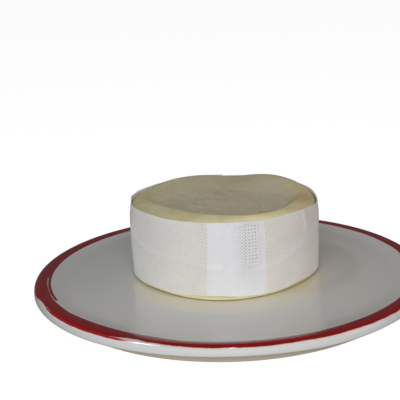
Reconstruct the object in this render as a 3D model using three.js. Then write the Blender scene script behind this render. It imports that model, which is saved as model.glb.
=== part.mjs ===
// A soft-ripened cheese wheel, banded with perforated cloth, on its glazed serving plate.
// Units are millimetres and +Z is up. The origin is the centre of the plate's foot, on the table.

import * as THREE from 'three';

// Plate: one fired piece with a flat well, a low upturned rim and a turned foot ring.
const PLATE_RADIUS = 132.5;
const PLATE_WIDEST_HEIGHT = 11;
const RIM_CREST_RADIUS = 126.6;
const RIM_CREST_HEIGHT = 15.7;
const WELL_RADIUS = 110;
const WELL_HEIGHT = 14.1;
const FOOT_OUTER_RADIUS = 117;
const FOOT_INNER_RADIUS = 108;
const FOOT_BEVEL = 0.8;
const FOOT_WALL_HEIGHT = 3.2;
const FOOT_RECESS_HEIGHT = 6.2;
const UNDERSIDE_EDGE_RADIUS = 129.5;
const UNDERSIDE_EDGE_HEIGHT = 9;

// Cheese: stands a little behind the plate's centre. Its heights count from the well.
const CHEESE_X = -1.9;
const CHEESE_Y = 6.5;
const RESTING_GAP = 0.3;
const BASE_RADIUS = 62.7;
const BASE_ROUNDING = 2.2;
const BELLY_RADIUS = 63.4;
const BELLY_HEIGHT = 34;
const SHOULDER_RADIUS = 61.9;
const SHOULDER_HEIGHT = 50;
const CREST_RADIUS = 54.5;
const CREST_HEIGHT = 51.8;
const DISH_EDGE_RADIUS = 48.5;
const DISH_FLOOR_RADIUS = 43;
const DISH_HEIGHT = 47.4;

// Band: a cloth strip wrapped once round the side, its ends lapped at the front.
const BAND_THICKNESS = 0.4;
const BAND_GAP = 0.25;
const BAND_BOTTOM = 2.2;
const BAND_WIDTH = 47.8;
const LAP_LENGTH = 37;
const LAP_CENTRE_ANGLE = THREE.MathUtils.degToRad(-82.6);

const TURN_STEPS = 72;
const CURVE_STEPS = 3;
const SIDE_STEPS = 5;

// The rind's radius at a height above the well: two parabolas that meet at the belly.
function rindRadius(height) {
  const below = height < BELLY_HEIGHT;
  const endRadius = below ? BASE_RADIUS : SHOULDER_RADIUS;
  const endHeight = below ? 0 : SHOULDER_HEIGHT;
  const share = (height - BELLY_HEIGHT) / (endHeight - BELLY_HEIGHT);
  return BELLY_RADIUS - (BELLY_RADIUS - endRadius) * share ** 2;
}

// Turns an outline, which starts and ends on the axis, into a solid that stands along +Z.
function turned(outline) {
  const geometry = new THREE.LatheGeometry(outline.getPoints(CURVE_STEPS), TURN_STEPS);
  return geometry.rotateX(Math.PI / 2);
}

function piece(name, geometry, material) {
  const mesh = new THREE.Mesh(geometry, material);
  mesh.name = name;
  return mesh;
}

function plate() {
  const outline = new THREE.Path();
  outline.moveTo(0, FOOT_RECESS_HEIGHT);
  outline.lineTo(FOOT_INNER_RADIUS - 3, FOOT_RECESS_HEIGHT);
  outline.quadraticCurveTo(FOOT_INNER_RADIUS, FOOT_RECESS_HEIGHT, FOOT_INNER_RADIUS, FOOT_WALL_HEIGHT);
  outline.lineTo(FOOT_INNER_RADIUS, FOOT_BEVEL);
  outline.lineTo(FOOT_INNER_RADIUS + FOOT_BEVEL, 0);
  outline.lineTo(FOOT_OUTER_RADIUS - FOOT_BEVEL, 0);
  outline.lineTo(FOOT_OUTER_RADIUS, FOOT_BEVEL);
  outline.lineTo(FOOT_OUTER_RADIUS, FOOT_WALL_HEIGHT);
  outline.quadraticCurveTo(
    FOOT_OUTER_RADIUS + 1.5, FOOT_WALL_HEIGHT + 1.2, UNDERSIDE_EDGE_RADIUS, UNDERSIDE_EDGE_HEIGHT);
  outline.quadraticCurveTo(
    PLATE_RADIUS, UNDERSIDE_EDGE_HEIGHT + 0.6, PLATE_RADIUS, PLATE_WIDEST_HEIGHT);
  outline.quadraticCurveTo(PLATE_RADIUS, RIM_CREST_HEIGHT, RIM_CREST_RADIUS, RIM_CREST_HEIGHT);
  outline.quadraticCurveTo(
    RIM_CREST_RADIUS - 4, RIM_CREST_HEIGHT, (RIM_CREST_RADIUS + WELL_RADIUS) / 2,
    (RIM_CREST_HEIGHT + WELL_HEIGHT) / 2);
  outline.quadraticCurveTo(WELL_RADIUS + 3, WELL_HEIGHT, WELL_RADIUS, WELL_HEIGHT);
  outline.lineTo(0, WELL_HEIGHT);
  const glaze = new THREE.MeshStandardMaterial({ color: '#d9dad6', roughness: 0.15, metalness: 0 });
  return piece('plate', turned(outline), glaze);
}

function cheeseWheel() {
  const outline = new THREE.Path();
  outline.moveTo(0, RESTING_GAP);
  outline.lineTo(BASE_RADIUS - BASE_ROUNDING, RESTING_GAP);
  const roundingTop = RESTING_GAP + BASE_ROUNDING;
  outline.quadraticCurveTo(BASE_RADIUS, RESTING_GAP, rindRadius(roundingTop), roundingTop);
  for (let step = 1; step <= SIDE_STEPS; step += 1) {
    const height = roundingTop + (SHOULDER_HEIGHT - roundingTop) * (step / SIDE_STEPS);
    outline.lineTo(rindRadius(height), height);
  }
  outline.quadraticCurveTo(SHOULDER_RADIUS - 1, CREST_HEIGHT, CREST_RADIUS, CREST_HEIGHT);
  outline.quadraticCurveTo(
    DISH_EDGE_RADIUS + 2, CREST_HEIGHT, DISH_EDGE_RADIUS, (CREST_HEIGHT + DISH_HEIGHT) / 2);
  outline.quadraticCurveTo(DISH_EDGE_RADIUS - 2, DISH_HEIGHT, DISH_FLOOR_RADIUS, DISH_HEIGHT);
  outline.lineTo(0, DISH_HEIGHT);
  const rind = new THREE.MeshStandardMaterial({ color: '#d8cfa6', roughness: 0.6, metalness: 0 });
  return piece('cheese_wheel', turned(outline), rind);
}

// The strip's plan is a spiral of one turn and a lap: its second end lies over its first.
function cheeseBand() {
  const lapAngle = LAP_LENGTH / BELLY_RADIUS;
  const startAngle = LAP_CENTRE_ANGLE - lapAngle / 2;
  const sweep = 2 * Math.PI + lapAngle;
  const stepCount = Math.ceil(TURN_STEPS * sweep / (2 * Math.PI));
  const layer = BAND_THICKNESS + BAND_GAP;

  const inside = [];
  const outside = [];
  for (let step = 0; step <= stepCount; step += 1) {
    const turn = sweep * step / stepCount;
    const lift = THREE.MathUtils.smoothstep(turn, 2 * Math.PI - 2 * lapAngle, 2 * Math.PI) * layer;
    const angle = startAngle + turn;
    const innerRadius = BELLY_RADIUS + BAND_GAP + lift;
    const outerRadius = innerRadius + BAND_THICKNESS;
    inside.push(new THREE.Vector2(Math.cos(angle) * innerRadius, Math.sin(angle) * innerRadius));
    outside.push(new THREE.Vector2(Math.cos(angle) * outerRadius, Math.sin(angle) * outerRadius));
  }
  const plan = new THREE.Shape([...outside, ...inside.reverse()]);
  const geometry = new THREE.ExtrudeGeometry(plan, {
    depth: BAND_WIDTH, steps: SIDE_STEPS, bevelEnabled: false,
  });
  geometry.translate(0, 0, BAND_BOTTOM);

  // Draws each ring of the strip in to follow the rind.
  const places = geometry.getAttribute('position');
  for (let index = 0; index < places.count; index += 1) {
    const x = places.getX(index);
    const y = places.getY(index);
    const height = places.getZ(index);
    const radius = Math.hypot(x, y);
    const drawn = (radius + rindRadius(height) - BELLY_RADIUS) / radius;
    places.setXY(index, x * drawn, y * drawn);
  }
  const cloth = new THREE.MeshStandardMaterial({ color: '#f1f3f5', roughness: 0.85, metalness: 0 });
  return piece('cheese_band', geometry, cloth);
}

const bandedCheese = new THREE.Group();
bandedCheese.add(cheeseWheel(), cheeseBand());
bandedCheese.position.set(CHEESE_X, CHEESE_Y, WELL_HEIGHT);

const cheeseOnPlate = new THREE.Group();
cheeseOnPlate.add(plate(), bandedCheese);

export default cheeseOnPlate;
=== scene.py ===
from functools import partial
from math import atan2, ceil, cos, degrees, exp, hypot, pi, radians, sin
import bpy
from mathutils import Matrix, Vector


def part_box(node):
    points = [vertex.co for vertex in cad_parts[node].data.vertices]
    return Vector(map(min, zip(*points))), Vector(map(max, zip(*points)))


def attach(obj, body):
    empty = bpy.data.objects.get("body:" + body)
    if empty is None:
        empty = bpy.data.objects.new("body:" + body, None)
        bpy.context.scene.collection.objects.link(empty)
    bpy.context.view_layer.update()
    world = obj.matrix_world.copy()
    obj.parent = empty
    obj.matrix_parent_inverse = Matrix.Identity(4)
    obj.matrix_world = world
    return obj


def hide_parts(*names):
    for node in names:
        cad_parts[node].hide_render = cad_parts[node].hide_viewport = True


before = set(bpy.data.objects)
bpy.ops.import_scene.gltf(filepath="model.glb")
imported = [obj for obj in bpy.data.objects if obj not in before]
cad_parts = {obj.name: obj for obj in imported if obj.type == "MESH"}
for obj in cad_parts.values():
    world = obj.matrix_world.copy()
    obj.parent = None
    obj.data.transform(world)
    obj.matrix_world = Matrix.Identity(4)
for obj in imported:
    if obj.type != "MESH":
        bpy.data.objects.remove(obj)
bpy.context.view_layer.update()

from types import SimpleNamespace

import bmesh
import bpy
from mathutils import Matrix, Vector, noise

# A soft-ripened cheese wheel in its perforated cloth band, on a glazed plate with a painted rim.
# Shapes are worked out in millimetres. Angles round the wheel and the plate are in degrees from
# the front, -Y, and grow towards the right hand, +X. The wheel's heights count from the well.

MM = 0.001

PLATE_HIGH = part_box("plate")[1] / MM
WHEEL_LOW, WHEEL_HIGH = (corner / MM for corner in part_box("cheese_wheel"))

# Plate
PLATE_RADIUS = PLATE_HIGH.x
WIDEST_HEIGHT = 11
RIM_CREST_RADIUS = 126.6
RIM_CREST_HEIGHT = PLATE_HIGH.z
WELL_RADIUS = 110
REST_GAP = 0.3
WELL_HEIGHT = WHEEL_LOW.z - REST_GAP
FOOT_OUTER_RADIUS = 117
FOOT_INNER_RADIUS = 108
FOOT_WALL_HEIGHT = 3.2
FOOT_RECESS_HEIGHT = 6.2
UNDERSIDE_EDGE_RADIUS = 129.5
UNDERSIDE_EDGE_HEIGHT = 9
RIM_TILT = 0.35

# Painted ring: its inner edge lies on the rim's slope, and its lower edge on the outer wall, which
# counts as wall from its own radius on.
RING_INNER_RADIUS = 122.5
RING_LOWER_HEIGHT = 14.78
WALL_RADIUS = 127.5

# Wheel
AXIS = Vector(((WHEEL_LOW.x + WHEEL_HIGH.x) / 2, (WHEEL_LOW.y + WHEEL_HIGH.y) / 2))
BELLY_RADIUS = (WHEEL_HIGH.x - WHEEL_LOW.x) / 2
BELLY_HEIGHT = 34
BASE_RADIUS = 62.7
SHOULDER_RADIUS = 61.9
SHOULDER_HEIGHT = 50
SHOULDER_INSET = 3.4
SHOULDER_DROP = 3.4
CREST_HEIGHT = WHEEL_HIGH.z - WELL_HEIGHT
DISH_HEIGHT = 48.2

# Band: both of its ends are cut at a slant, so its flat length is the mean one.
BAND_WIDTH = 48
BAND_THICKNESS = 0.3
BAND_STAND_OFF = 0.75
LAYER_GAP = 0.1
LAP_START = -10.9
LAP_LENGTH = 38.5
HOLE_PITCH = 2.1
HOLE_COLUMNS_ROUND = 190
HOLE_SHARE = 0.46
OPEN_HOLE_SHARE = 0.62
CLOSED_HOLE_SHARE = 0.3


def curve(start, corner, end, steps=12):
    """Points along a curve that leaves start towards corner and comes into end from it."""
    start, corner, end = Vector(start), Vector(corner), Vector(end)
    shares = [step / steps for step in range(steps + 1)]
    return [start * (1 - t) ** 2 + corner * (2 * t * (1 - t)) + end * t**2 for t in shares]


def ease(value, low, high):
    """0 at low, 1 at high, and a smooth step between."""
    share = min(max((value - low) / (high - low), 0), 1)
    return share * share * (3 - 2 * share)


def swell(angle, centre, spread, amount):
    """A soft bump in a value round the wheel, at its full amount at the centre angle."""
    apart = (angle - centre + 180) % 360 - 180
    return amount * exp(-((apart / spread) ** 2))


def angle_of(x, y):
    """The angle from the front, from -180 to 180."""
    return degrees(atan2(x, -y))


def grain(x, y, z, size, seed=0):
    """Smooth noise from -1 to 1, whose lumps are about size across."""
    return noise.noise(Vector((x / size + 17.3 * seed, y / size, z / size)))


def turned(outline, steps):
    """Spins an outline of (radius, height) points, from axis to axis, into a closed solid."""
    bm = bmesh.new()
    points = [bm.verts.new((radius, 0, height)) for radius, height in outline]
    edges = [bm.edges.new(pair) for pair in zip(points, points[1:])]
    axis = {"cent": (0, 0, 0), "axis": (0, 0, 1)}
    bmesh.ops.spin(bm, geom=points + edges, angle=2 * pi, steps=steps, use_merge=True, **axis)
    bmesh.ops.remove_doubles(bm, verts=bm.verts, dist=0.001)
    bmesh.ops.recalc_face_normals(bm, faces=bm.faces)
    return bm


def placed(bm, name, centre, height):
    """Makes a finished object of a mesh drawn in millimetres, moved to its place."""
    bmesh.ops.translate(bm, verts=bm.verts, vec=(centre[0], centre[1], height))
    bmesh.ops.scale(bm, verts=bm.verts, vec=(MM, MM, MM))
    mesh = bpy.data.meshes.new(name)
    bm.to_mesh(mesh)
    bm.free()
    mesh.shade_smooth()
    piece = bpy.data.objects.new(name, mesh)
    bpy.context.scene.collection.objects.link(piece)
    return piece


# ---------------------------------------------------------------- plate


def plate_outline():
    bevel = 0.8
    recess_radius = FOOT_INNER_RADIUS - 3
    recess_edge = (recess_radius, FOOT_RECESS_HEIGHT)
    recess_corner = (FOOT_INNER_RADIUS, FOOT_RECESS_HEIGHT)
    foot_inner_top = (FOOT_INNER_RADIUS, FOOT_WALL_HEIGHT)
    foot_inner_low = (FOOT_INNER_RADIUS, bevel)
    foot_outer_low = (FOOT_OUTER_RADIUS, bevel)
    foot_outer_top = (FOOT_OUTER_RADIUS, FOOT_WALL_HEIGHT)
    hollow = (FOOT_OUTER_RADIUS + 1.5, FOOT_WALL_HEIGHT + 1.2)
    under_edge = (UNDERSIDE_EDGE_RADIUS, UNDERSIDE_EDGE_HEIGHT)
    under_corner = (PLATE_RADIUS, UNDERSIDE_EDGE_HEIGHT + 0.6)
    widest = (PLATE_RADIUS, WIDEST_HEIGHT)
    rim_corner = (PLATE_RADIUS, RIM_CREST_HEIGHT)
    crest = (RIM_CREST_RADIUS, RIM_CREST_HEIGHT)
    crest_inside = (RIM_CREST_RADIUS - 4, RIM_CREST_HEIGHT)
    slope = ((RIM_CREST_RADIUS + WELL_RADIUS) / 2, (RIM_CREST_HEIGHT + WELL_HEIGHT) / 2)
    slope_foot = (WELL_RADIUS + 3, WELL_HEIGHT)
    well_edge = (WELL_RADIUS, WELL_HEIGHT)

    outline = [Vector((radius, FOOT_RECESS_HEIGHT)) for radius in range(0, recess_radius, 6)]
    outline += curve(recess_edge, recess_corner, foot_inner_top, 6)
    outline += curve(foot_inner_low, (FOOT_INNER_RADIUS, 0), (FOOT_INNER_RADIUS + bevel, 0), 4)
    outline += curve((FOOT_OUTER_RADIUS - bevel, 0), (FOOT_OUTER_RADIUS, 0), foot_outer_low, 4)
    outline += curve(foot_outer_top, hollow, under_edge, 14)
    outline += curve(under_edge, under_corner, widest, 12)[1:]
    outline += curve(widest, rim_corner, crest, 14)[1:]
    outline += curve(crest, crest_inside, slope, 10)[1:]
    outline += curve(slope, slope_foot, well_edge, 8)[1:]
    outline += [Vector((radius, WELL_HEIGHT)) for radius in range(WELL_RADIUS - 5, -1, -5)]
    return outline


def make_plate():
    bm = turned(plate_outline(), 240)
    for vert in bm.verts:
        x, y, z = vert.co
        # A thrown rim runs a few tenths of a millimetre out of true, and stands higher in front.
        radius, angle = hypot(x, y), angle_of(x, y)
        rim = ease(radius, 95, RIM_CREST_RADIUS) * ease(z, 2, 8)
        vert.co.z += rim * (0.2 * grain(x, y, 0, 120, seed=1) - RIM_TILT * y / PLATE_RADIUS)
        # Its wall hangs a little lower at the left and at the front right, and bulges less at the left.
        hang = swell(angle, -52, 34, 0.9) + swell(angle, 27, 15, 0.6)
        vert.co.z -= hang * ease(radius, 118, 128) * ease(z, 14, 10)
        narrowed = 1 - swell(angle, -90, 40, 0.6) * ease(radius, 122, 130) / PLATE_RADIUS
        vert.co.x *= narrowed
        vert.co.y *= narrowed
    return placed(bm, "plate_glazed", (0, 0), 0)


# ---------------------------------------------------------------- cheese wheel


def rind_radius(angle, height):
    """The wheel's radius: two parabolas that meet at the belly, a flat at the right, where the band
    kinks over it, and a slumped foot."""
    below = height < BELLY_HEIGHT
    end_radius, end_height = (BASE_RADIUS, 0) if below else (SHOULDER_RADIUS, SHOULDER_HEIGHT)
    share = (height - BELLY_HEIGHT) / (end_height - BELLY_HEIGHT)
    plain = BELLY_RADIUS - (BELLY_RADIUS - end_radius) * share**2 - swell(angle, 66, 9, 0.7)
    slump = 0.7 + swell(angle, -2, 20, 2.4) - swell(angle, -50, 18, 2.2) - swell(angle, 48, 16, 1.8)
    return plain + slump * ease(height, 3.2, 0.6)


def drawn_in(angle, height):
    """How far the shoulder has shrunk away from the band, at the right."""
    return ease(height, 40, 50) * swell(angle, 100, 26, 0.8)


def lip_radius(angle):
    """Where the raised rim breaks down into the dish."""
    return 50 - swell(angle, -46, 26, 4.8) + swell(angle, 24, 26, 6.4)


def crest_height(angle):
    """The rim's top: high in front and at the back's two quarters, sunk between and at the sides."""
    high = swell(angle, 0, 50, 0.6) + swell(angle, 143, 15, 1.0) + swell(angle, -150, 16, 0.4)
    low = swell(angle, 174, 14, 1.9) + swell(angle, 95, 22, 2.4) + swell(angle, -108, 26, 1.8)
    return CREST_HEIGHT + high - low


def shoulder_height(angle):
    """Where the top rolls over into the side: well under the crest in front, less so behind."""
    return crest_height(angle) - SHOULDER_DROP + 2.2 * ease(abs(angle), 70, 120)


def dish_creases(x, y):
    """The dish's floor: slow waves, and the soft creases that the draining cloth pressed in."""
    waves = 0.3 * grain(x, y, 0, 24, seed=2) + 0.2 * grain(x, y, 0, 8, seed=3)
    fold = 1 - abs(grain(0.8 * x, 1.3 * y, 0, 11, seed=4)) * 5
    imprint = 0.12 * grain(x, y, 0, 2.6, seed=5) + 0.07 * grain(x, y, 0, 1.6, seed=6)
    return waves - 0.22 * max(fold, 0) ** 2 + imprint


def top_height(x, y, radius, angle):
    """The top's height: a dish that breaks off the rim sharply in front, and gently behind."""
    behind = ease(abs(angle), 75, 135)
    inner = lip_radius(angle) - 5 - 24 * behind
    outer = lip_radius(angle) + 1.5 + 5 * behind
    up = ease(radius, inner, outer)
    down = min(max((radius - outer) / (SHOULDER_RADIUS - outer), 0), 1)
    rounded = 0.7 * down**1.2 + 0.3 * (1 - (1 - down**6) ** 0.5)
    crest = crest_height(angle)
    floor = DISH_HEIGHT + dish_creases(x, y)
    rim = crest + 0.12 * grain(x, y, 0, 12, seed=8) * (1 - down)
    return floor + up * (rim - floor) - rounded * (crest - shoulder_height(angle))


def wheel_outline():
    """The blank that make_wheel shapes: a straight side and a flat top."""
    base_rounding = 1.6
    base_gap = 0.05
    outline = [Vector((radius, base_gap)) for radius in range(0, 61, 6)]
    base_side = (BASE_RADIUS, base_rounding)
    outline += curve((BASE_RADIUS - base_rounding, base_gap), (BASE_RADIUS, base_gap), base_side, 6)
    side_steps = 60
    for step in range(1, side_steps):
        height = base_rounding + (SHOULDER_HEIGHT - base_rounding) * step / side_steps
        outline.append(Vector((BASE_RADIUS, height)))
    rounding_steps = 8
    for step in range(rounding_steps):
        inset = SHOULDER_INSET * (step / rounding_steps) ** 2
        outline.append(Vector((SHOULDER_RADIUS - inset, SHOULDER_HEIGHT)))
    rings = 84
    full = SHOULDER_RADIUS - SHOULDER_INSET
    outline += [Vector((full * (1 - ring / rings), SHOULDER_HEIGHT)) for ring in range(rings + 1)]
    return outline


def make_wheel():
    """Shapes the blank, and marks the dish's printed skin, its yellowed rim and the whitish patches on
    its rim.
    """
    bm = turned(wheel_outline(), 360)
    names = ("dish", "ochre", "whitish_patch")
    dish, ochre, whitish_patch = (bm.verts.layers.float.new(name) for name in names)
    for vert in bm.verts:
        x, y, z = vert.co
        radius, angle = hypot(x, y), angle_of(x, y)
        on_top = z > SHOULDER_HEIGHT - 0.01
        if on_top:
            moved = radius - drawn_in(angle, z) * ease(radius, 30, SHOULDER_RADIUS)
        elif radius > BASE_RADIUS - 2:
            moved = radius - BASE_RADIUS + rind_radius(angle, z) - drawn_in(angle, z)
            moved += 0.12 * grain(x, y, z, 9, seed=10) * ease(z, 0, 4) * ease(z, 50, 46)
        else:
            continue
        if radius > 0.01:
            vert.co.x, vert.co.y = x * moved / radius, y * moved / radius
        if not on_top:
            vert.co.z += ease(z, 30, 50) * (shoulder_height(angle) - SHOULDER_HEIGHT)
            continue
        x, y = vert.co.x, vert.co.y
        vert.co.z = top_height(x, y, radius, angle)

        aside = ease(abs(angle), 50, 85)
        edge = lip_radius(angle) - 4 * aside + 6 * ease(abs(angle), 85, 130)
        edge += (1 + 2 * aside) * 0.9 * grain(x, y, 0, 7, seed=11)
        width = 3 + 10 * aside
        vert[dish] = ease(radius, edge + width / 2, edge - width / 2)
        vert[ochre] = ease(radius, 48, 56) * swell(angle, 76, 20, 1)
        # Whitish patches on the rim: at the front left, at the back right, and on the slope at the back.
        blot = swell(angle, -60, 12, 1) * ease(abs(radius - 52), 5, 1)
        streak = swell(angle, 128, 5, 1) * ease(radius, 44, 47) * ease(radius, 58, 55)
        slope = swell(angle, -170, 22, 0.3) * ease(abs(radius - 50), 6, 2)
        vert[whitish_patch] = min(blot + streak + slope, 1) * (0.75 + 0.25 * grain(x, y, 0, 3, seed=12))
    return placed(bm, "cheese_rind", AXIS, WELL_HEIGHT)


# ---------------------------------------------------------------- band

# The strip's own plan is flat: along it from its under end, and up it from its lower edge.
ROUND_LENGTH = HOLE_COLUMNS_ROUND * HOLE_PITCH
STRIP_LENGTH = ROUND_LENGTH + LAP_LENGTH
UNDER_END_SLANT = 1 / 27
OUTER_END_SLANT = -1 / 61
HOLES_MEET_ALONG = ROUND_LENGTH + 28.5
HOLES_MEET_UP = 33
PATCH_HALF_WIDTH = 4.5
PATCH_HALF_HEIGHT = 12
CELL = HOLE_PITCH / 2**0.5 / 2
MARGIN = 4 * CELL

# Each crease's route, as (angle, height) points, with its height off the cloth and its width.
CREASES = (
    ([(-84, 37.5), (-67, 31.7), (-57, 29), (-47, 26.9), (-27, 26.4), (-10, 21.9), (4, 19.8)], 0.7, 1.5),
    ([(-2, 19.9), (18, 19.9), (34, 21.5), (41, 25.5), (48, 27.7), (60, 30.2), (78, 34.5)], 0.75, 1.9),
    ([(1, 20.2), (6, 22.3), (11, 23.8), (18, 25.5)], 0.4, 1.5),
    ([(33, 0), (36, 2.5), (42, 6.5), (49, 10), (58, 14)], 0.4, 2.4),
)


def band_bottom(angle):
    rise = swell(angle, -8, 14, 0.8) + swell(angle, 49, 8, 1.2) - swell(angle, -51, 14, 0.7)
    return 2.0 + rise + 0.25 * sin(radians(3 * angle + 40)) * ease(abs(angle), 80, 120)


def band_top(angle):
    left = swell(angle, -51, 14, 0.8) + swell(angle, -91, 5, 1.7) + swell(angle, -104, 12, 0.8)
    rise = left - swell(angle, 30, 8, 0.4)
    fall = 2.7 * ease(angle, 48, 80) * ease(angle, 108, 84) + 0.7 * ease(angle, 84, 108)
    return 50.1 + rise - fall


def lap_drift(along, up):
    """How far the lap's holes lie from those under them, which they meet in one patch."""
    half_pitch = HOLE_PITCH / 2
    aside = along - HOLES_MEET_ALONG
    away = min(max((abs(aside) - PATCH_HALF_WIDTH) / 12, 0), 1)
    above = min(max((abs(up - HOLES_MEET_UP) - PATCH_HALF_HEIGHT) / 25, 0), 1)
    lapped = ease(along, ROUND_LENGTH - 60, ROUND_LENGTH - 4)
    sideways = half_pitch * sin(away * pi / 2) * (1 if aside > 0 else -1)
    upward = half_pitch * sin(above * pi / 2) * (1 - away)
    return sideways * lapped, upward * lapped


def hole_share(column, row):
    """Half a hole's width in cells: in the patch, every other punch has gone right through."""
    along = (column + row) * CELL / 2**0.5 - BAND_WIDTH / 2 - MARGIN
    up = (row - column) * CELL / 2**0.5 + BAND_WIDTH / 2
    aside = abs(along % ROUND_LENGTH - HOLES_MEET_ALONG + ROUND_LENGTH)
    in_patch = aside < PATCH_HALF_WIDTH and abs(up - HOLES_MEET_UP) < PATCH_HALF_HEIGHT + 0.5
    if not in_patch:
        return HOLE_SHARE
    return OPEN_HOLE_SHARE if int((column + row) / 2) % 2 else CLOSED_HOLE_SHARE


def crease_strength(angle, height):
    """Each crease's share of its full height at a point, from 0 to 1, with that full height."""
    for route, amount, width in CREASES:
        first, last = route[0][0], route[-1][0]
        if first < angle < last:
            ends = ease(angle, first, first + 7) * ease(angle, last, last - 7)
            faded = 0.7 + 0.9 * grain(angle, height, 0, 16, seed=23)
            for (start, low), (end, high) in zip(route, route[1:]):
                if start <= angle <= end:
                    middle = low + (high - low) * (angle - start) / (end - start)
                    yield ends * faded * exp(-(((height - middle) / width) ** 2)), amount


def stand_off(angle, height):
    """How far the cloth's outer face stands off the wheel, where it is single."""
    x, y = BELLY_RADIUS * sin(radians(angle)), BELLY_RADIUS * cos(radians(angle))
    kink = 0.6 * ease(height, 20, 45) * swell(angle, 54.5, 2, 1)
    ripple = 0.2 * grain(x, y, height, 18, seed=21) + 0.07 * grain(x, y, height, 6, seed=22)
    creases = sum(share * amount for share, amount in crease_strength(angle, height))
    return BAND_STAND_OFF + kink + ripple + creases


def wrapped(along, up):
    """A point of the flat strip, laid round the wheel: its outer face."""
    turn = LAP_START + along / ROUND_LENGTH * 360
    angle = (turn + 180) % 360 - 180
    low, high = band_bottom(angle), band_top(angle)
    over = ease(along, ROUND_LENGTH - 6, ROUND_LENGTH)
    # The outer end's top corner has slipped down a little.
    slipped = 0.9 * ease(along, STRIP_LENGTH - 4, STRIP_LENGTH) * ease(up, 30, BAND_WIDTH)
    height = low + (high - low) * up / BAND_WIDTH - slipped
    radius = rind_radius(angle, min(height, SHOULDER_HEIGHT)) + stand_off(angle, height)
    radius += over * (BAND_THICKNESS + LAYER_GAP)
    return Vector((radius * sin(radians(turn)), -radius * cos(radians(turn)), height))


def perforated_strip():
    """The flat strip: a lattice of threads at 45 degrees, its holes left out, cut to size."""
    diagonal = STRIP_LENGTH + BAND_WIDTH + 2 * MARGIN
    cells = 2 * ceil(diagonal / 2**0.5 / CELL / 2)
    side = cells * CELL

    bm = bmesh.new()
    bmesh.ops.create_grid(bm, x_segments=cells, y_segments=cells, size=side / 2)
    bmesh.ops.translate(bm, verts=bm.verts, vec=(side / 2, side / 2, 0))
    beyond = [v for v in bm.verts if abs(v.co.x - v.co.y) > (BAND_WIDTH / 2 + MARGIN) * 2**0.5]
    bmesh.ops.delete(bm, geom=beyond, context="VERTS")
    holes = []
    for face in bm.faces:
        middle = face.calc_center_median() / CELL
        if int(middle.x) % 2 and int(middle.y) % 2:
            holes.append(face)
    bmesh.ops.delete(bm, geom=holes, context="FACES")
    for vert in bm.verts:
        corner = [round(value / CELL) for value in vert.co[:2]]
        middle = [value + 0.5 if value % 2 else value - 0.5 for value in corner]
        share = hole_share(*middle)
        for axis in (0, 1):
            outwards = 1 if corner[axis] > middle[axis] else -1
            vert.co[axis] = CELL * (middle[axis] + outwards * share)

    bmesh.ops.rotate(bm, verts=bm.verts, cent=(0, 0, 0), matrix=Matrix.Rotation(-pi / 4, 3, "Z"))
    bmesh.ops.translate(bm, verts=bm.verts, vec=(-BAND_WIDTH / 2 - MARGIN, BAND_WIDTH / 2, 0))
    for vert in bm.verts:
        sideways, upward = lap_drift(vert.co.x, vert.co.y)
        vert.co.x += sideways
        vert.co.y += upward

    cuts = (
        ((0, 0, 0), (-1, UNDER_END_SLANT, 0)),
        ((STRIP_LENGTH, 0, 0), (1, -OUTER_END_SLANT, 0)),
        ((0, 0, 0), (0, -1, 0)),
        ((0, BAND_WIDTH, 0), (0, 1, 0)),
    )
    for point, outwards in cuts:
        everything = bm.verts[:] + bm.edges[:] + bm.faces[:]
        bmesh.ops.bisect_plane(bm, geom=everything, plane_co=point, plane_no=outwards, clear_outer=True)
    loose = [v for v in bm.verts if not v.link_faces]
    bmesh.ops.delete(bm, geom=loose, context="VERTS")
    return bm


def make_band():
    """Lays the strip round the wheel, and marks where it is doubled and where it is creased."""
    bm = perforated_strip()
    doubled = bm.verts.layers.float.new("doubled")
    creased = bm.verts.layers.float.new("creased")
    for vert in bm.verts:
        along, up, _ = vert.co
        vert.co = wrapped(along, up)
        vert[doubled] = along > ROUND_LENGTH + UNDER_END_SLANT * up
        angle, height = angle_of(vert.co.x, vert.co.y), vert.co.z
        vert[creased] = max((share for share, _ in crease_strength(angle, height)), default=0)
    bm.normal_update()
    bmesh.ops.solidify(bm, geom=bm.faces[:], thickness=BAND_THICKNESS)
    return placed(bm, "cloth_band", AXIS, WELL_HEIGHT)


# ---------------------------------------------------------------- materials


def colour(code):
    """An sRGB hex code as linear red, green, blue and alpha."""
    parts = [int(code[start : start + 2], 16) / 255 for start in (1, 3, 5)]
    return [part / 12.92 if part <= 0.04045 else ((part + 0.055) / 1.055) ** 2.4 for part in parts] + [1]


def fill(node, inputs):
    """Fills a node's inputs, each with a value or with a link from another node."""
    for name, value in inputs.items():
        if isinstance(value, bpy.types.Node):
            value = next(output for output in value.outputs if output.enabled)
        if isinstance(value, bpy.types.NodeSocket):
            node.id_data.links.new(value, node.inputs[name])
        else:
            node.inputs[name].default_value = value
    return node


def add_node(tree, kind, inputs=(), **settings):
    """Adds a node, sets its properties and fills its inputs."""
    made = tree.nodes.new("ShaderNode" + kind)
    for name, value in settings.items():
        setattr(made, name, value)
    return fill(made, dict(inputs))


def begin(name):
    """A new material: the way to add its nodes, its shader, and a place on it in millimetres."""
    material = bpy.data.materials.new(name)
    material.use_nodes = True
    add = partial(add_node, material.node_tree)
    shader = material.node_tree.nodes["Principled BSDF"]
    mm = add("Mapping", {"Vector": add("TexCoord").outputs["Object"], "Scale": (1 / MM,) * 3})
    return material, add, shader, mm


SMOOTH = {"interpolation_type": "SMOOTHSTEP"}
COLOURS = {"data_type": "RGBA"}


def ramp(low, high, top=1, bottom=0):
    """A map range's inputs, for a value that goes from bottom at low to top at high."""
    return {"From Min": low, "From Max": high, "To Min": bottom, "To Max": top}


def patch(add, *edges):
    """1 where every value is past its soft edge, which is given as (value, low, high)."""
    shares = [add("MapRange", {"Value": value, **ramp(*ends)}, **SMOOTH) for value, *ends in edges]
    whole = shares[0]
    for share in shares[1:]:
        whole = add("Math", {0: whole, 1: share}, operation="MULTIPLY")
    return whole


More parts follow.
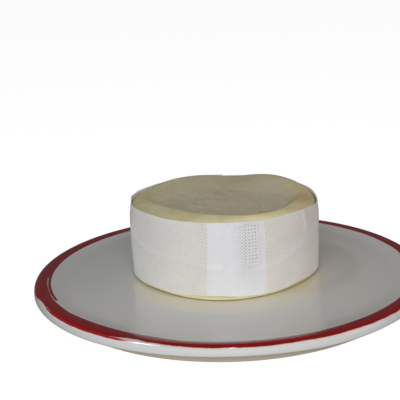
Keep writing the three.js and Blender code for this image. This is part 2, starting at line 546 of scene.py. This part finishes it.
def around_plate(add, mm):
    """A place on the plate, with the nearest spot on the ring's inner edge."""
    part = add("SeparateXYZ", {0: mm})
    behind = add("Math", {0: part.outputs["Y"], 1: -1}, operation="MULTIPLY")
    turn = add("Math", {0: part.outputs["X"], 1: behind}, operation="ARCTAN2")
    flat = add("VectorMath", {0: mm, 1: (1, 1, 0)}, operation="MULTIPLY")
    outward = add("VectorMath", {0: flat}, operation="NORMALIZE")
    return SimpleNamespace(
        y=part.outputs["Y"],
        height=part.outputs["Z"],
        angle=add("Math", {0: turn}, operation="DEGREES"),
        flat=flat,
        radius=add("VectorMath", {0: flat}, operation="LENGTH").outputs["Value"],
        on_ring=add("VectorMath", {0: outward, "Scale": RING_INNER_RADIUS}, operation="SCALE"),
    )


def brush_streaks(add, place):
    """Streaks that are long along the rim and narrow across it, because the brush went round."""
    across = add("Math", {0: place.radius, 1: 16}, operation="MULTIPLY")
    across = add("CombineXYZ", {"Z": across})
    brushed = add("VectorMath", {0: place.on_ring, 1: across}, operation="ADD")
    return add("TexNoise", {"Vector": brushed, "Scale": 1 / 18, "Detail": 3})


def ring_inner_edge(add, place):
    """The paint outside the ring's crisp inner edge, and the share of it that a thin wash lacks."""
    slow = add("TexNoise", {"Vector": place.on_ring, "Scale": 1 / 26, "Detail": 2})
    wander = add("MapRange", {"Value": slow, **ramp(0.25, 0.75, 0.3, -0.3)})
    inward = add("Math", {0: place.radius, 1: wander}, operation="ADD")

    # It lies further in at the back right and at the front left, and further out in front.
    back_right = add("MapRange", {"Value": place.angle, **ramp(60, 110, 0.8)}, **SMOOTH)
    inward = add("Math", {0: inward, 1: back_right}, operation="ADD")
    front_left = patch(add, (place.angle, -54, -44), (place.angle, -12, -22))
    inward = add("Math", {0: front_left, 1: 1.4, 2: inward}, operation="MULTIPLY_ADD")
    turned_away = add("Math", {0: place.angle}, operation="ABSOLUTE")
    front = add("MapRange", {"Value": turned_away, **ramp(34, 8)})
    inward = add("Math", {0: front, 1: -1, 2: inward}, operation="MULTIPLY_ADD")

    start = RING_INNER_RADIUS
    painted = patch(add, (inward, start - 0.1, start + 0.4))
    # In front, the first few millimetres are only a thin wash.
    washed = add("MapRange", {"Value": inward, **ramp(start + 3.3, start + 0.5, 0.5)}, **SMOOTH)
    return painted, add("Math", {0: front, 1: washed}, operation="MULTIPLY")


def last_stroke(add, place, streaks):
    """At the left the last stroke runs on inside the ring, and its end parts from it by a gap."""
    across = (place.radius, 120.3, 120.7), (place.radius, 122.9, 122.7)
    along = (place.angle, -175, -130), (place.angle, -63.5, -64.5)
    stroke = patch(add, *across, *along)

    across = (place.radius, 122.1, 122.4), (place.radius, 123.1, 122.8)
    along = (place.angle, -90, -86), (place.angle, -60, -64)
    gap = patch(add, *across, *along)
    ragged, parted = patch(add, (streaks, 0.46, 0.58)), patch(add, (place.angle, -71, -68))
    ragged = add("Math", {0: ragged, 1: parted}, operation="MAXIMUM")
    gap = add("Math", {0: gap, 1: ragged}, operation="MULTIPLY")
    return stroke, add("Math", {0: gap, 1: 0.65}, operation="MULTIPLY")


def ring_lower_edge(add, place):
    """On the outer wall: the ring with its burnt edge, and a second stroke that hangs below it."""
    tilted = {0: place.y, 1: RIM_TILT / PLATE_RADIUS, 2: place.height}
    level = add("Math", tilted, operation="MULTIPLY_ADD")
    # A slow wander and small nicks.
    lower = level
    for size, detail, low, reach in ((34, 1, 0.25, 0.2), (6, 3, 0.2, 0.15)):
        uneven = add("TexNoise", {"Vector": place.on_ring, "Scale": 1 / size, "Detail": detail})
        uneven = add("MapRange", {"Value": uneven, **ramp(low, 1 - low, reach, -reach)})
        lower = add("Math", {0: lower, 1: uneven}, operation="ADD")

    # At the front left a second, brighter stroke hangs below the ring.
    edge = RING_LOWER_HEIGHT
    stroke_start = add("MapRange", {"Value": place.angle, **ramp(-63, -60)})
    stroke_end = add("MapRange", {"Value": place.angle, **ramp(-22, -28)})
    stroke = add("Math", {0: stroke_start, 1: stroke_end}, operation="MULTIPLY")
    hung = add("Math", {0: stroke, 1: 0.75, 2: lower}, operation="MULTIPLY_ADD")
    hung = patch(
        add,
        (hung, edge, edge + 0.15),
        (level, edge + 0.22, edge + 0.07),
        (place.radius, WALL_RADIUS, WALL_RADIUS + 1),
    )
    hung = add("Math", {0: hung, 1: stroke}, operation="MULTIPLY")

    # The ring draws in over that stroke's end, and hangs lower at the left.
    retreat = patch(add, (place.angle, -33, -26), (place.angle, -6, -22))
    main = add("Math", {0: retreat, 1: -0.5, 2: lower}, operation="MULTIPLY_ADD")
    side = add("MapRange", {"Value": place.angle, **ramp(-66, -73, 1.2)}, **SMOOTH)
    main = add("Math", {0: main, 1: side}, operation="ADD")
    # Inside the wall there is no lower edge.
    inside = add("Math", {0: edge + WALL_RADIUS, 1: place.radius}, operation="SUBTRACT")
    main = add("Math", {0: main, 1: inside}, operation="MAXIMUM")
    return patch(add, (main, edge - 0.2, edge)), patch(add, (main, edge, edge + 0.15)), hung


def painted_cheese_reflection(add, place):
    """A painted reflection of the cheese's cream foot in the glaze, in front of the cheese and strongest
    near it.
    """
    reflection_centre = (AXIS.x + 2, AXIS.y - 19, 0)
    from_reflection_centre = add("VectorMath", {0: place.flat, 1: reflection_centre}, operation="DISTANCE").outputs["Value"]
    painted_reflection = add("MapRange", {"Value": from_reflection_centre, **ramp(69.5, 65, 0.36)}, **SMOOTH)
    axis = (AXIS.x, AXIS.y, 0)
    from_axis = add("VectorMath", {0: place.flat, 1: axis}, operation="DISTANCE").outputs["Value"]
    near = add("MapRange", {"Value": from_axis, **ramp(76, 64, 1.7, 1)}, **SMOOTH)
    facing = patch(add, (place.y, AXIS.y - 14, AXIS.y - 38))
    for share in (near, facing):
        painted_reflection = add("Math", {0: painted_reflection, 1: share}, operation="MULTIPLY")
    return painted_reflection


def glazed_stoneware():
    # Glazed stoneware: thrown buff clay under a milky gloss glaze, with a ring of iron-red
    # underglaze brushed round the rim by hand. The glaze gives clear reflections, the brush leaves
    # streaks and a wandering edge that burns to orange where it is thin, and the foot is wiped
    # bare and stays matt.
    material, add, shader, mm = begin("glazed_stoneware")
    place = around_plate(add, mm)
    streaks = brush_streaks(add, place)
    painted, thin = ring_inner_edge(add, place)
    last, gap = last_stroke(add, place, streaks)
    halo, solid, hung = ring_lower_edge(add, place)

    cloudy = add("TexNoise", {"Vector": mm, "Scale": 1 / 45, "Detail": 2})
    glaze = add("Mix", {0: cloudy, 6: colour("#dcdedc"), 7: colour("#e2e1dd")}, **COLOURS)
    # One iron speck in the glaze, at the front right.
    spot = (43.1, -92.4, 0)
    apart = add("VectorMath", {0: place.flat, 1: spot}, operation="DISTANCE").outputs["Value"]
    speck = add("MapRange", {"Value": apart, **ramp(0.9, 0.4, 0.45)})
    glaze = add("Mix", {0: speck, 6: glaze, 7: colour("#6d5a45")}, **COLOURS)
    # Painted reflection: the cheese's cream foot mirrored in the glaze in front of it.
    glaze = add("Mix", {0: painted_cheese_reflection(add, place), 6: glaze, 7: colour("#efe8bf")}, **COLOURS)

    dark = patch(add, (streaks, 0.35, 0.65))
    red = add("Mix", {0: dark, 6: colour("#960c15"), 7: colour("#880f18")}, **COLOURS)
    wall = patch(add, (place.radius, WALL_RADIUS, WALL_RADIUS + 2))
    red = add("Mix", {0: wall, 6: red, 7: colour("#96040c")}, **COLOURS)
    red = add("Mix", {0: hung, 6: red, 7: colour("#b01712")}, **COLOURS)

    paint = add("Math", {0: painted, 1: solid}, operation="MULTIPLY")
    for stroke in (last, hung):
        paint = add("Math", {0: paint, 1: stroke}, operation="MAXIMUM")
    for bared in (thin, gap):
        paint = add("Math", {0: paint, 1: bared}, operation="SUBTRACT", use_clamp=True)

    # The orange line shows only just under the paint's edge.
    orange = add("Mix", {0: halo, 6: glaze, 7: colour("#c98f6c")}, **COLOURS)
    edge = add("Math", {0: painted, 1: halo}, operation="MULTIPLY")
    under = add("Mix", {0: edge, 6: glaze, 7: orange}, **COLOURS)
    covered = add("MapRange", {"Value": solid, **ramp(0, 0.2)})
    under = add("Mix", {0: covered, 6: under, 7: glaze}, **COLOURS)
    surface = add("Mix", {0: paint, 6: under, 7: red}, **COLOURS)

    wiped = add("TexNoise", {"Vector": mm, "Scale": 1 / 8})
    wiped = add("MapRange", {"Value": wiped, **ramp(0.2, 0.8, 0.5, -0.5)})
    wiped = add("Math", {0: place.height, 1: wiped}, operation="ADD")
    bare = patch(add, (wiped, 3.9, 3.4), (place.radius, 105, 106))
    grit = add("TexNoise", {"Vector": mm, "Scale": 1 / 1.2, "Detail": 4})
    clay = add("Mix", {0: grit, 6: colour("#b8ac97"), 7: colour("#c8bda9")}, **COLOURS)
    surface = add("Mix", {0: bare, 6: surface, 7: clay}, **COLOURS)

    rough = add("MapRange", {"Value": bare, **ramp(0, 1, 0.8, 0.09)})
    pooled = add("TexNoise", {"Vector": mm, "Scale": 1 / 22, "Detail": 1})
    relief = add("Bump", {"Height": pooled, "Distance": 0.05 * MM})
    fill(shader, {"Base Color": surface, "Roughness": rough, "IOR": 1.5, "Normal": relief})
    return material


def cheese_rind():
    # Washed, bloomed rind of a soft ewe's-milk cheese: a thin, moist, elastic skin over a soft
    # paste. It is waxy and cream-yellow where it was stretched smooth over the rim, and duller and
    # greyer in the dish, where the draining cloth printed its weave and a bloom took hold.
    material, add, shader, mm = begin("cheese_rind")
    dish = add("Attribute", attribute_name="dish").outputs["Fac"]
    ochre = add("Attribute", attribute_name="ochre").outputs["Fac"]
    whitish_patch = add("Attribute", attribute_name="whitish_patch").outputs["Fac"]

    mottle = add("TexNoise", {"Vector": mm, "Scale": 1 / 9, "Detail": 3})
    mottle = patch(add, (mottle, 0.35, 0.65))
    cream = add("Mix", {0: mottle, 6: colour("#e6dfb4"), 7: colour("#dfd4a0")}, **COLOURS)
    beige = add("Mix", {0: mottle, 6: colour("#e7e2c8"), 7: colour("#dfd6b8")}, **COLOURS)

    # The weave's print is drawn at 1.4 mm, twice its real pitch, or it wouldn't show.
    printed = add("TexNoise", {"Vector": mm, "Scale": 1 / 1.4, "Detail": 2, "Roughness": 0.6})
    printed = patch(add, (printed, 0.3, 0.7))
    beige = add("Mix", {0: printed, 6: beige, 7: colour("#d5ccad")}, **COLOURS)
    # Its back half is duller still.
    part = add("SeparateXYZ", {0: mm})
    behind = {"Value": part.outputs["Y"], **ramp(AXIS.y + 5, AXIS.y + 45, 0.4)}
    behind = add("MapRange", behind, **SMOOTH)
    beige = add("Mix", {0: behind, 6: beige, 7: colour("#c9c09a")}, **COLOURS)

    # Under the band the skin is painted a greyer, less yellow cream.
    level = part.outputs["Z"]
    low, high = WELL_HEIGHT + 2.6, WELL_HEIGHT + 48.5
    covered = patch(add, (level, low, low + 1.5), (level, high, high - 1.5))
    cream = add("Mix", {0: covered, 6: cream, 7: colour("#d8d1b2")}, **COLOURS)

    surface = add("Mix", {0: dish, 6: cream, 7: beige}, **COLOURS)
    # Painted contact shadow: the rind's lowest millimetre, where it stands on the plate, is painted
    # brown.
    painted_contact_shadow = add("MapRange", {"Value": level, **ramp(WELL_HEIGHT + 1, WELL_HEIGHT + 0.5)})
    surface = add("Mix", {0: painted_contact_shadow, 6: surface, 7: colour("#a98f50")}, **COLOURS)
    tinted = add("Math", {0: ochre, 1: 0.4}, operation="MULTIPLY")
    surface = add("Mix", {0: tinted, 6: surface, 7: colour("#e3cb8a")}, **COLOURS)
    # Whitish patches on the rim, mixed in at almost half strength.
    paled = add("Math", {0: whitish_patch, 1: 0.45}, operation="MULTIPLY")
    surface = add("Mix", {0: paled, 6: surface, 7: colour("#eceadb")}, **COLOURS)

    # One orange-brown speck of smear bacteria, at the dish's front right edge.
    spot = (AXIS.x + 24.2, AXIS.y - 35, WELL_HEIGHT + DISH_HEIGHT)
    apart = add("VectorMath", {0: mm, 1: spot}, operation="DISTANCE").outputs["Value"]
    speck = add("MapRange", {"Value": apart, **ramp(2.2, 0.8, 0.8)})
    surface = add("Mix", {0: speck, 6: surface, 7: colour("#cf9a32")}, **COLOURS)

    depth = add("MapRange", {"Value": dish, **ramp(0, 1, 1, 0.25)})
    pits = add("TexNoise", {"Vector": mm, "Scale": 1 / 1.1, "Detail": 3, "Roughness": 0.6})
    relief = add("Bump", {"Height": pits, "Strength": depth, "Distance": 0.3 * MM})
    fill(shader, {"Base Color": surface, "Roughness": 0.5, "IOR": 1.45, "Normal": relief})
    waxy = {"Subsurface Weight": 0.15, "Subsurface Radius": (1, 0.7, 0.35), "Subsurface Scale": 3 * MM}
    fill(shader, waxy)
    return material


def band_cloth():
    # Perforated non-woven cloth: white bonded viscose fibres, punched in a close diagonal lattice.
    # It is matt and a little fuzzy, and thin enough that one layer takes the cheese's warm cream
    # through it, where two stay white. Its creases whiten, because the fibres part there.
    material, add, shader, mm = begin("band_cloth")
    doubled = add("Attribute", attribute_name="doubled").outputs["Fac"]
    creased = add("Attribute", attribute_name="creased").outputs["Fac"]

    clouds = add("TexNoise", {"Vector": mm, "Scale": 1 / 14, "Detail": 2})
    clouds = patch(add, (clouds, 0.35, 0.65))
    single = add("Mix", {0: clouds, 6: colour("#eeeee8"), 7: colour("#f2f0ee")}, **COLOURS)
    surface = add("Mix", {0: doubled, 6: single, 7: colour("#eeeff3")}, **COLOURS)
    whitened = add("Math", {0: creased, 1: 0.5}, operation="MULTIPLY")
    surface = add("Mix", {0: whitened, 6: surface, 7: colour("#fafafa")}, **COLOURS)

    # Fibres are drawn at 0.5 mm, where the real ones are 0.02 mm, or they wouldn't show.
    fibres = add("TexNoise", {"Vector": mm, "Scale": 1 / 0.5, "Detail": 3})
    relief = add("Bump", {"Height": fibres, "Strength": 0.6, "Distance": 0.08 * MM})
    fill(shader, {"Base Color": surface, "Roughness": 0.9, "IOR": 1.4, "Normal": relief})
    fill(shader, {"Sheen Weight": 0.1, "Sheen Roughness": 0.6})
    return material


# ---------------------------------------------------------------- setting


def pale_floor():
    """A pale floor that glows by itself, and that throws no light back on the plate."""
    material, _, shader, _ = begin("pale_floor")
    fill(shader, {"Base Color": colour("#808080"), "Roughness": 1, "Specular IOR Level": 0})
    fill(shader, {"Emission Color": (1, 1, 1, 1), "Emission Strength": 0.94})
    bm = bmesh.new()
    bmesh.ops.create_grid(bm, x_segments=1, y_segments=1, size=12 / MM)
    floor = placed(bm, "floor", (0, 0), 0)
    floor.data.materials.append(material)
    floor.visible_diffuse = False
    floor.visible_glossy = False


def soft_light(name, turn, rise, distance, width, height, watts, tint, glints=True, shades=True):
    """A panel that faces the plate, at an angle from the front and a rise above the table.
    Without glints it isn't seen in reflections, and without shades it is seen only in them."""
    panel = bpy.data.lights.new(name, "AREA")
    panel.shape = "RECTANGLE"
    panel.size, panel.size_y = width, height
    panel.energy = watts
    panel.color = colour(tint)[:3]
    lamp = bpy.data.objects.new(name, panel)
    flat = distance * cos(radians(rise))
    spot = (flat * sin(radians(turn)), -flat * cos(radians(turn)), distance * sin(radians(rise)))
    aim = Matrix.Rotation(radians(turn), 4, "Z") @ Matrix.Rotation(radians(90 - rise), 4, "X")
    lamp.matrix_world = Matrix.Translation(spot) @ aim
    lamp.visible_glossy = glints
    lamp.visible_diffuse = shades
    bpy.context.scene.collection.objects.link(lamp)


def light_setting():
    soft_light("key_panel", -5, 14.5, 1.4, 1.5, 0.6, 14.4, "#fdfdff", glints=False)
    soft_light("warm_side", 78, 30, 1.2, 0.5, 0.5, 1.6, "#ffdcc4")
    # The window and its gleam draw the long glint at the rim's front left, and the lamp the short
    # one in front.
    soft_light("window", -88, 62, 1.5, 0.42, 0.13, 1.5, "#ffffff")
    soft_light("window_gleam", -80, 59, 1.5, 0.34, 0.3, 4.5, "#ffffff", shades=False)
    soft_light("lamp", 0, 83, 1.5, 0.045, 0.36, 1.1, "#ffffff")
    world = bpy.data.worlds.new("dim_room")
    world.use_nodes = True
    fill(world.node_tree.nodes["Background"], {"Color": (1, 1, 1, 1), "Strength": 0.12})
    bpy.context.scene.world = world
    bpy.context.scene.view_settings.view_transform = "Standard"


def aim_camera():
    """An 81 mm lens, 20 degrees above the table, aimed a little past the plate's centre."""
    distance, rise = 619.1, radians(19.57)
    pan, tilt, roll = radians(1.68), radians(4.35), radians(1.75)
    lens = bpy.data.cameras.new("camera")
    lens.lens = 81
    lens.sensor_width = 36
    lens.clip_end = 100
    camera = bpy.data.objects.new("camera", lens)
    turn = Matrix.Rotation(pi / 2 - rise, 4, "X") @ Matrix.Rotation(pan, 4, "Y")
    turn = turn @ Matrix.Rotation(tilt, 4, "X") @ Matrix.Rotation(-roll, 4, "Z")
    spot = Vector((0, -distance * cos(rise), distance * sin(rise) + WELL_HEIGHT + 1)) * MM
    camera.matrix_world = Matrix.Translation(spot) @ turn
    bpy.context.scene.collection.objects.link(camera)
    bpy.context.scene.camera = camera


def put(piece, node, material):
    piece.data.materials.append(material)
    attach(piece, "root")
    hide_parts(node)


aim_camera()
light_setting()
pale_floor()

put(make_plate(), "plate", glazed_stoneware())
put(make_wheel(), "cheese_wheel", cheese_rind())
band = make_band()
put(band, "cheese_band", band_cloth())
